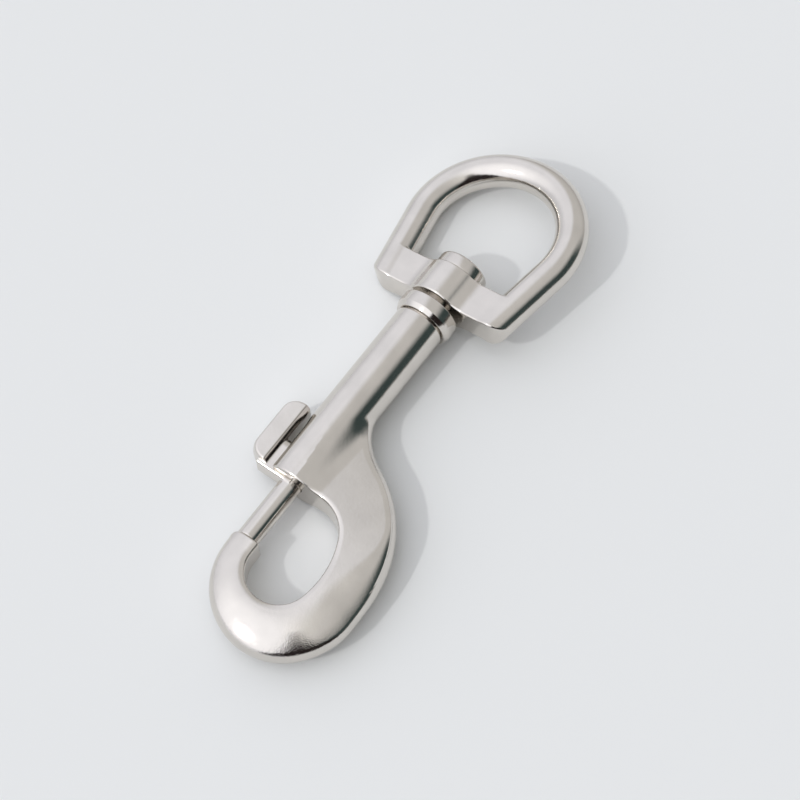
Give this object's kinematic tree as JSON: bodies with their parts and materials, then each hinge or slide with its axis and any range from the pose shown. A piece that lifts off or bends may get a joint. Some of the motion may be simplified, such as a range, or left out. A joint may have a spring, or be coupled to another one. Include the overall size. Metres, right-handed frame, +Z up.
{
  "type": "swivel snap hook",
  "caption": "Nickel-plated cast snap hook with a spring bolt slid by a thumb tab, and a swivelling D-shaped strap eye riveted to the end of its barrel.",
  "frame": {"origin": "middle of the gate on the bolt's axis, halfway between the nose's seat and the barrel's open front", "axes": "+X along the barrel towards the eye, +Y out of the gate on the thumb tab's side, +Z up from the surface that the hook lies on. The bolt's axis leans up by about 1.25 degrees towards +X, because the flange is wider than the barrel"},
  "size_m": [0.1063, 0.041, 0.0121],
  "materials": {
    "nickel_plate": "bright nickel plate on cast zinc, softly polished",
    "spring_steel": "drawn wire, plain"
  },
  "bodies": {
    "casting": {"hook_body": "nickel_plate", "swivel_stud": "nickel_plate", "spring": "spring_steel"},
    "bolt": {"bolt": "nickel_plate"},
    "eye": {"swivel_eye": "nickel_plate"}
  },
  "joints": [
    {"name": "bolt_slide", "type": "slide", "parent": "casting", "child": "bolt", "axis": [0.9998, 0, 0.0218], "range_m": [0, 0.0056], "stiffness_N_per_m": 700, "springref_m": -0.006, "deforming": ["spring"]},
    {"name": "eye_swivel", "type": "hinge", "parent": "casting", "child": "eye", "pos_m": [0.05184, 0, 0.00113], "axis": [0.9998, 0, 0.0218], "continuous": true}
  ]
}
